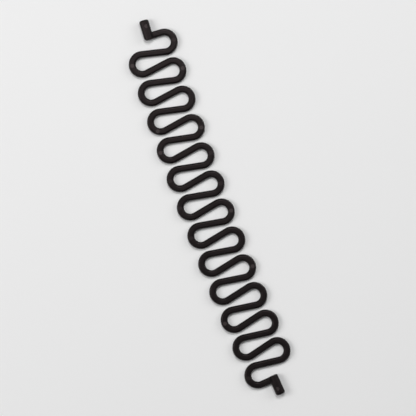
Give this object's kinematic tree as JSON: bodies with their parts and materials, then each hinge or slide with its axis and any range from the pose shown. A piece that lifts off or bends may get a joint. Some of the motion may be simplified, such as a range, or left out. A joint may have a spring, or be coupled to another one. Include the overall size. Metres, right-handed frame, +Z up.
{
  "type": "hair braiding tool",
  "caption": "Flat black serpentine rod with a peg at each end; hair is laced through its loops to weave a braid, and the rod flexes in length, sideways and round the head.",
  "frame": {"origin": "on the surface that the tool lies on, below the middle of its bounding box", "axes": "+Y along the tool towards its crown end, +X across it towards its right bends, +Z up out of the surface that it lies on"},
  "size_m": [0.032, 0.2138, 0.005],
  "materials": {
    "black_plastic": "satin moulded"
  },
  "bodies": {
    "middle_rung": {"left_loop_06_nape_half": "black_plastic", "right_loop_07_crown_half": "black_plastic"},
    "right_loop_07_nape_half": {"right_loop_07_nape_half": "black_plastic"},
    "left_loop_07_crown_half": {"left_loop_07_crown_half": "black_plastic"},
    "left_loop_07_nape_half": {"left_loop_07_nape_half": "black_plastic"},
    "right_loop_08_crown_half": {"right_loop_08_crown_half": "black_plastic"},
    "right_loop_08_nape_half": {"right_loop_08_nape_half": "black_plastic"},
    "left_loop_08_crown_half": {"left_loop_08_crown_half": "black_plastic"},
    "left_loop_08_nape_half": {"left_loop_08_nape_half": "black_plastic"},
    "right_loop_09_crown_half": {"right_loop_09_crown_half": "black_plastic"},
    "right_loop_09_nape_half": {"right_loop_09_nape_half": "black_plastic"},
    "left_loop_09_crown_half": {"left_loop_09_crown_half": "black_plastic"},
    "left_loop_09_nape_half": {"left_loop_09_nape_half": "black_plastic"},
    "right_loop_10_crown_half": {"right_loop_10_crown_half": "black_plastic"},
    "right_loop_10_nape_half": {"right_loop_10_nape_half": "black_plastic"},
    "left_loop_10_crown_half": {"left_loop_10_crown_half": "black_plastic"},
    "left_loop_10_nape_half": {"left_loop_10_nape_half": "black_plastic"},
    "right_loop_11_crown_half": {"right_loop_11_crown_half": "black_plastic"},
    "right_loop_11_nape_half": {"right_loop_11_nape_half": "black_plastic"},
    "left_loop_11_crown_half": {"left_loop_11_crown_half": "black_plastic"},
    "left_loop_11_nape_half": {"left_loop_11_nape_half": "black_plastic"},
    "right_loop_12_crown_half": {"right_loop_12_crown_half": "black_plastic"},
    "right_loop_12_nape_half": {"right_loop_12_nape_half": "black_plastic"},
    "left_loop_12_crown_half": {"left_loop_12_crown_half": "black_plastic"},
    "nape_end": {"left_loop_12_nape_half": "black_plastic", "nape_peg": "black_plastic"},
    "left_loop_06_crown_half": {"left_loop_06_crown_half": "black_plastic"},
    "right_loop_06_nape_half": {"right_loop_06_nape_half": "black_plastic"},
    "right_loop_06_crown_half": {"right_loop_06_crown_half": "black_plastic"},
    "left_loop_05_nape_half": {"left_loop_05_nape_half": "black_plastic"},
    "left_loop_05_crown_half": {"left_loop_05_crown_half": "black_plastic"},
    "right_loop_05_nape_half": {"right_loop_05_nape_half": "black_plastic"},
    "right_loop_05_crown_half": {"right_loop_05_crown_half": "black_plastic"},
    "left_loop_04_nape_half": {"left_loop_04_nape_half": "black_plastic"},
    "left_loop_04_crown_half": {"left_loop_04_crown_half": "black_plastic"},
    "right_loop_04_nape_half": {"right_loop_04_nape_half": "black_plastic"},
    "right_loop_04_crown_half": {"right_loop_04_crown_half": "black_plastic"},
    "left_loop_03_nape_half": {"left_loop_03_nape_half": "black_plastic"},
    "left_loop_03_crown_half": {"left_loop_03_crown_half": "black_plastic"},
    "right_loop_03_nape_half": {"right_loop_03_nape_half": "black_plastic"},
    "right_loop_03_crown_half": {"right_loop_03_crown_half": "black_plastic"},
    "left_loop_02_nape_half": {"left_loop_02_nape_half": "black_plastic"},
    "left_loop_02_crown_half": {"left_loop_02_crown_half": "black_plastic"},
    "right_loop_02_nape_half": {"right_loop_02_nape_half": "black_plastic"},
    "right_loop_02_crown_half": {"right_loop_02_crown_half": "black_plastic"},
    "left_loop_01_nape_half": {"left_loop_01_nape_half": "black_plastic"},
    "left_loop_01_crown_half": {"left_loop_01_crown_half": "black_plastic"},
    "right_loop_01_nape_half": {"right_loop_01_nape_half": "black_plastic"},
    "crown_end": {"right_loop_01_crown_half": "black_plastic", "crown_peg": "black_plastic"}
  },
  "joints": [
    {"name": "right_bend_07", "type": "hinge", "parent": "middle_rung", "child": "right_loop_07_nape_half", "pos_m": [0.01136, -0.00399, 0.00155], "axis": [0.0003, 0, 1], "range_deg": [-3, 8], "stiffness_Nm_per_rad": 0.34},
    {"name": "rung_13", "type": "hinge", "parent": "right_loop_07_nape_half", "child": "left_loop_07_crown_half", "pos_m": [-0.00137, -0.00807, 0.00155], "axis": [-0.9846, 0.1748, 0], "range_deg": [0, 5], "stiffness_Nm_per_rad": 0.23},
    {"name": "left_bend_07", "type": "hinge", "parent": "left_loop_07_crown_half", "child": "left_loop_07_nape_half", "pos_m": [-0.0141, -0.01218, 0.00155], "axis": [0.0003, 0, -1], "range_deg": [-3, 8], "stiffness_Nm_per_rad": 0.34},
    {"name": "rung_14", "type": "hinge", "parent": "left_loop_07_nape_half", "child": "right_loop_08_crown_half", "pos_m": [-0.00131, -0.01608, 0.00155], "axis": [-0.9817, -0.1903, 0], "range_deg": [0, 5], "stiffness_Nm_per_rad": 0.23},
    {"name": "right_bend_08", "type": "hinge", "parent": "right_loop_08_crown_half", "child": "right_loop_08_nape_half", "pos_m": [0.01149, -0.01996, 0.00155], "axis": [0.0003, 0, 1], "range_deg": [-3, 8], "stiffness_Nm_per_rad": 0.34},
    {"name": "rung_15", "type": "hinge", "parent": "right_loop_08_nape_half", "child": "left_loop_08_crown_half", "pos_m": [-0.0012, -0.02417, 0.00155], "axis": [-0.9864, 0.1644, 0], "range_deg": [0, 5], "stiffness_Nm_per_rad": 0.23},
    {"name": "left_bend_08", "type": "hinge", "parent": "left_loop_08_crown_half", "child": "left_loop_08_nape_half", "pos_m": [-0.01388, -0.02841, 0.00155], "axis": [0.0003, 0, -1], "range_deg": [-3, 8], "stiffness_Nm_per_rad": 0.34},
    {"name": "rung_16", "type": "hinge", "parent": "left_loop_08_nape_half", "child": "right_loop_09_crown_half", "pos_m": [-0.00105, -0.03218, 0.00155], "axis": [-0.9797, -0.2006, 0], "range_deg": [0, 5], "stiffness_Nm_per_rad": 0.23},
    {"name": "right_bend_09", "type": "hinge", "parent": "right_loop_09_crown_half", "child": "right_loop_09_nape_half", "pos_m": [0.01178, -0.03592, 0.00155], "axis": [0.0003, 0, 1], "range_deg": [-3, 8], "stiffness_Nm_per_rad": 0.34},
    {"name": "rung_17", "type": "hinge", "parent": "right_loop_09_nape_half", "child": "left_loop_09_crown_half", "pos_m": [-0.00086, -0.04026, 0.00155], "axis": [-0.9881, 0.154, 0], "range_deg": [0, 5], "stiffness_Nm_per_rad": 0.23},
    {"name": "left_bend_09", "type": "hinge", "parent": "left_loop_09_crown_half", "child": "left_loop_09_nape_half", "pos_m": [-0.0135, -0.04464, 0.00155], "axis": [0.0003, 0, -1], "range_deg": [-3, 8], "stiffness_Nm_per_rad": 0.34},
    {"name": "rung_18", "type": "hinge", "parent": "left_loop_09_nape_half", "child": "right_loop_10_crown_half", "pos_m": [-0.00063, -0.04827, 0.00155], "axis": [-0.9775, -0.2109, 0], "range_deg": [0, 5], "stiffness_Nm_per_rad": 0.23},
    {"name": "right_bend_10", "type": "hinge", "parent": "right_loop_10_crown_half", "child": "right_loop_10_nape_half", "pos_m": [0.01224, -0.05188, 0.00155], "axis": [0.0003, 0, 1], "range_deg": [-3, 8], "stiffness_Nm_per_rad": 0.34},
    {"name": "rung_19", "type": "hinge", "parent": "right_loop_10_nape_half", "child": "left_loop_10_crown_half", "pos_m": [-0.00035, -0.05636, 0.00155], "axis": [-0.9896, 0.1436, 0], "range_deg": [0, 5], "stiffness_Nm_per_rad": 0.23},
    {"name": "left_bend_10", "type": "hinge", "parent": "left_loop_10_crown_half", "child": "left_loop_10_nape_half", "pos_m": [-0.01294, -0.06086, 0.00155], "axis": [0.0003, 0, -1], "range_deg": [-3, 8], "stiffness_Nm_per_rad": 0.34},
    {"name": "rung_20", "type": "hinge", "parent": "left_loop_10_nape_half", "child": "right_loop_11_crown_half", "pos_m": [-0.00004, -0.06436, 0.00155], "axis": [-0.9752, -0.2212, 0], "range_deg": [0, 5], "stiffness_Nm_per_rad": 0.23},
    {"name": "right_bend_11", "type": "hinge", "parent": "right_loop_11_crown_half", "child": "right_loop_11_nape_half", "pos_m": [0.01287, -0.06783, 0.00155], "axis": [0.0003, 0, 1], "range_deg": [-3, 8], "stiffness_Nm_per_rad": 0.34},
    {"name": "rung_21", "type": "hinge", "parent": "right_loop_11_nape_half", "child": "left_loop_11_crown_half", "pos_m": [0.00033, -0.07244, 0.00155], "axis": [-0.9911, 0.1332, 0], "range_deg": [0, 5], "stiffness_Nm_per_rad": 0.23},
    {"name": "left_bend_11", "type": "hinge", "parent": "left_loop_11_crown_half", "child": "left_loop_11_nape_half", "pos_m": [-0.01222, -0.07708, 0.00155], "axis": [0.0003, 0, -1], "range_deg": [-3, 8], "stiffness_Nm_per_rad": 0.34},
    {"name": "rung_22", "type": "hinge", "parent": "left_loop_11_nape_half", "child": "right_loop_12_crown_half", "pos_m": [0.00073, -0.08044, 0.00155], "axis": [-0.9728, -0.2314, 0], "range_deg": [0, 5], "stiffness_Nm_per_rad": 0.23},
    {"name": "right_bend_12", "type": "hinge", "parent": "right_loop_12_crown_half", "child": "right_loop_12_nape_half", "pos_m": [0.01367, -0.08378, 0.00155], "axis": [0.0003, 0, 1], "range_deg": [-3, 8], "stiffness_Nm_per_rad": 0.34},
    {"name": "rung_23", "type": "hinge", "parent": "right_loop_12_nape_half", "child": "left_loop_12_crown_half", "pos_m": [0.00117, -0.08852, 0.00155], "axis": [-0.9924, 0.1228, 0], "range_deg": [0, 5], "stiffness_Nm_per_rad": 0.23},
    {"name": "left_bend_12", "type": "hinge", "parent": "left_loop_12_crown_half", "child": "nape_end", "pos_m": [-0.01132, -0.09329, 0.00155], "axis": [0.0003, 0, -1], "range_deg": [-3, 8], "stiffness_Nm_per_rad": 0.34},
    {"name": "left_bend_06", "type": "hinge", "parent": "middle_rung", "child": "left_loop_06_crown_half", "pos_m": [-0.01414, 0.00406, 0.00155], "axis": [-0.0003, 0, 1], "range_deg": [-3, 8], "stiffness_Nm_per_rad": 0.34},
    {"name": "rung_11", "type": "hinge", "parent": "left_loop_06_crown_half", "child": "right_loop_06_nape_half", "pos_m": [-0.00137, 0.00803, 0.00155], "axis": [0.9827, -0.1851, 0], "range_deg": [0, 5], "stiffness_Nm_per_rad": 0.23},
    {"name": "right_bend_06", "type": "hinge", "parent": "right_loop_06_nape_half", "child": "right_loop_06_crown_half", "pos_m": [0.0114, 0.01197, 0.00155], "axis": [-0.0003, 0, -1], "range_deg": [-3, 8], "stiffness_Nm_per_rad": 0.34},
    {"name": "rung_10", "type": "hinge", "parent": "right_loop_06_crown_half", "child": "left_loop_05_nape_half", "pos_m": [-0.00131, 0.01612, 0.00155], "axis": [0.9855, 0.1696, 0], "range_deg": [0, 5], "stiffness_Nm_per_rad": 0.23},
    {"name": "left_bend_05", "type": "hinge", "parent": "left_loop_05_nape_half", "child": "left_loop_05_crown_half", "pos_m": [-0.01401, 0.02029, 0.00155], "axis": [-0.0003, 0, 1], "range_deg": [-3, 8], "stiffness_Nm_per_rad": 0.34},
    {"name": "rung_09", "type": "hinge", "parent": "left_loop_05_crown_half", "child": "right_loop_05_nape_half", "pos_m": [-0.0012, 0.02413, 0.00155], "axis": [0.9807, -0.1955, 0], "range_deg": [0, 5], "stiffness_Nm_per_rad": 0.23},
    {"name": "right_bend_05", "type": "hinge", "parent": "right_loop_05_nape_half", "child": "right_loop_05_crown_half", "pos_m": [0.01161, 0.02794, 0.00155], "axis": [-0.0003, 0, -1], "range_deg": [-3, 8], "stiffness_Nm_per_rad": 0.34},
    {"name": "rung_08", "type": "hinge", "parent": "right_loop_05_crown_half", "child": "left_loop_04_nape_half", "pos_m": [-0.00105, 0.03222, 0.00155], "axis": [0.9872, 0.1592, 0], "range_deg": [0, 5], "stiffness_Nm_per_rad": 0.23},
    {"name": "left_bend_04", "type": "hinge", "parent": "left_loop_04_nape_half", "child": "left_loop_04_crown_half", "pos_m": [-0.01371, 0.03652, 0.00155], "axis": [-0.0003, 0, 1], "range_deg": [-3, 8], "stiffness_Nm_per_rad": 0.34},
    {"name": "rung_07", "type": "hinge", "parent": "left_loop_04_crown_half", "child": "right_loop_04_nape_half", "pos_m": [-0.00086, 0.04023, 0.00155], "axis": [0.9786, -0.2058, 0], "range_deg": [0, 5], "stiffness_Nm_per_rad": 0.23},
    {"name": "right_bend_04", "type": "hinge", "parent": "right_loop_04_nape_half", "child": "right_loop_04_crown_half", "pos_m": [0.01199, 0.0439, 0.00155], "axis": [-0.0003, 0, -1], "range_deg": [-3, 8], "stiffness_Nm_per_rad": 0.34},
    {"name": "rung_06", "type": "hinge", "parent": "right_loop_04_crown_half", "child": "left_loop_03_nape_half", "pos_m": [-0.00063, 0.04831, 0.00155], "axis": [0.9889, 0.1488, 0], "range_deg": [0, 5], "stiffness_Nm_per_rad": 0.23},
    {"name": "left_bend_03", "type": "hinge", "parent": "left_loop_03_nape_half", "child": "left_loop_03_crown_half", "pos_m": [-0.01324, 0.05275, 0.00155], "axis": [-0.0003, 0, 1], "range_deg": [-3, 8], "stiffness_Nm_per_rad": 0.34},
    {"name": "rung_05", "type": "hinge", "parent": "left_loop_03_crown_half", "child": "right_loop_03_nape_half", "pos_m": [-0.00035, 0.05632, 0.00155], "axis": [0.9764, -0.2161, 0], "range_deg": [0, 5], "stiffness_Nm_per_rad": 0.23},
    {"name": "right_bend_03", "type": "hinge", "parent": "right_loop_03_nape_half", "child": "right_loop_03_crown_half", "pos_m": [0.01254, 0.05986, 0.00155], "axis": [-0.0003, 0, -1], "range_deg": [-3, 8], "stiffness_Nm_per_rad": 0.34},
    {"name": "rung_04", "type": "hinge", "parent": "right_loop_03_crown_half", "child": "left_loop_02_nape_half", "pos_m": [-0.00003, 0.0644, 0.00155], "axis": [0.9904, 0.1384, 0], "range_deg": [0, 5], "stiffness_Nm_per_rad": 0.23},
    {"name": "left_bend_02", "type": "hinge", "parent": "left_loop_02_nape_half", "child": "left_loop_02_crown_half", "pos_m": [-0.0126, 0.06897, 0.00155], "axis": [-0.0003, 0, 1], "range_deg": [-3, 8], "stiffness_Nm_per_rad": 0.34},
    {"name": "rung_03", "type": "hinge", "parent": "left_loop_02_crown_half", "child": "right_loop_02_nape_half", "pos_m": [0.00032, 0.0724, 0.00155], "axis": [0.9741, -0.2263, 0], "range_deg": [0, 5], "stiffness_Nm_per_rad": 0.23},
    {"name": "right_bend_02", "type": "hinge", "parent": "right_loop_02_nape_half", "child": "right_loop_02_crown_half", "pos_m": [0.01325, 0.07581, 0.00155], "axis": [-0.0003, 0, -1], "range_deg": [-3, 8], "stiffness_Nm_per_rad": 0.34},
    {"name": "rung_02", "type": "hinge", "parent": "right_loop_02_crown_half", "child": "left_loop_01_nape_half", "pos_m": [0.00073, 0.08048, 0.00155], "axis": [0.9918, 0.128, 0], "range_deg": [0, 5], "stiffness_Nm_per_rad": 0.23},
    {"name": "left_bend_01", "type": "hinge", "parent": "left_loop_01_nape_half", "child": "left_loop_01_crown_half", "pos_m": [-0.01179, 0.08519, 0.00155], "axis": [-0.0003, 0, 1], "range_deg": [-3, 8], "stiffness_Nm_per_rad": 0.34},
    {"name": "rung_01", "type": "hinge", "parent": "left_loop_01_crown_half", "child": "right_loop_01_nape_half", "pos_m": [0.00117, 0.08848, 0.00155], "axis": [0.9716, -0.2366, 0], "range_deg": [0, 5], "stiffness_Nm_per_rad": 0.23},
    {"name": "right_bend_01", "type": "hinge", "parent": "right_loop_01_nape_half", "child": "crown_end", "pos_m": [0.01413, 0.09175, 0.00155], "axis": [-0.0003, 0, -1], "range_deg": [-3, 8], "stiffness_Nm_per_rad": 0.34}
  ],
  "couplings": [
    {"joint": "left_bend_07", "follows": "left_bend_06", "ratio": 1},
    {"joint": "rung_14", "follows": "rung_13", "ratio": 1},
    {"joint": "right_bend_08", "follows": "right_bend_07", "ratio": 1},
    {"joint": "rung_15", "follows": "rung_13", "ratio": 1},
    {"joint": "left_bend_08", "follows": "left_bend_06", "ratio": 1},
    {"joint": "rung_16", "follows": "rung_13", "ratio": 1},
    {"joint": "right_bend_09", "follows": "right_bend_07", "ratio": 1},
    {"joint": "rung_17", "follows": "rung_13", "ratio": 1},
    {"joint": "left_bend_09", "follows": "left_bend_06", "ratio": 1},
    {"joint": "rung_18", "follows": "rung_13", "ratio": 1},
    {"joint": "right_bend_10", "follows": "right_bend_07", "ratio": 1},
    {"joint": "rung_19", "follows": "rung_13", "ratio": 1},
    {"joint": "left_bend_10", "follows": "left_bend_06", "ratio": 1},
    {"joint": "rung_20", "follows": "rung_13", "ratio": 1},
    {"joint": "right_bend_11", "follows": "right_bend_07", "ratio": 1},
    {"joint": "rung_21", "follows": "rung_13", "ratio": 1},
    {"joint": "left_bend_11", "follows": "left_bend_06", "ratio": 1},
    {"joint": "rung_22", "follows": "rung_13", "ratio": 1},
    {"joint": "right_bend_12", "follows": "right_bend_07", "ratio": 1},
    {"joint": "rung_23", "follows": "rung_13", "ratio": 1},
    {"joint": "left_bend_12", "follows": "left_bend_06", "ratio": 1},
    {"joint": "rung_11", "follows": "rung_13", "ratio": 1},
    {"joint": "right_bend_06", "follows": "right_bend_07", "ratio": 1},
    {"joint": "rung_10", "follows": "rung_13", "ratio": 1},
    {"joint": "left_bend_05", "follows": "left_bend_06", "ratio": 1},
    {"joint": "rung_09", "follows": "rung_13", "ratio": 1},
    {"joint": "right_bend_05", "follows": "right_bend_07", "ratio": 1},
    {"joint": "rung_08", "follows": "rung_13", "ratio": 1},
    {"joint": "left_bend_04", "follows": "left_bend_06", "ratio": 1},
    {"joint": "rung_07", "follows": "rung_13", "ratio": 1},
    {"joint": "right_bend_04", "follows": "right_bend_07", "ratio": 1},
    {"joint": "rung_06", "follows": "rung_13", "ratio": 1},
    {"joint": "left_bend_03", "follows": "left_bend_06", "ratio": 1},
    {"joint": "rung_05", "follows": "rung_13", "ratio": 1},
    {"joint": "right_bend_03", "follows": "right_bend_07", "ratio": 1},
    {"joint": "rung_04", "follows": "rung_13", "ratio": 1},
    {"joint": "left_bend_02", "follows": "left_bend_06", "ratio": 1},
    {"joint": "rung_03", "follows": "rung_13", "ratio": 1},
    {"joint": "right_bend_02", "follows": "right_bend_07", "ratio": 1},
    {"joint": "rung_02", "follows": "rung_13", "ratio": 1},
    {"joint": "left_bend_01", "follows": "left_bend_06", "ratio": 1},
    {"joint": "rung_01", "follows": "rung_13", "ratio": 1},
    {"joint": "right_bend_01", "follows": "right_bend_07", "ratio": 1}
  ]
}
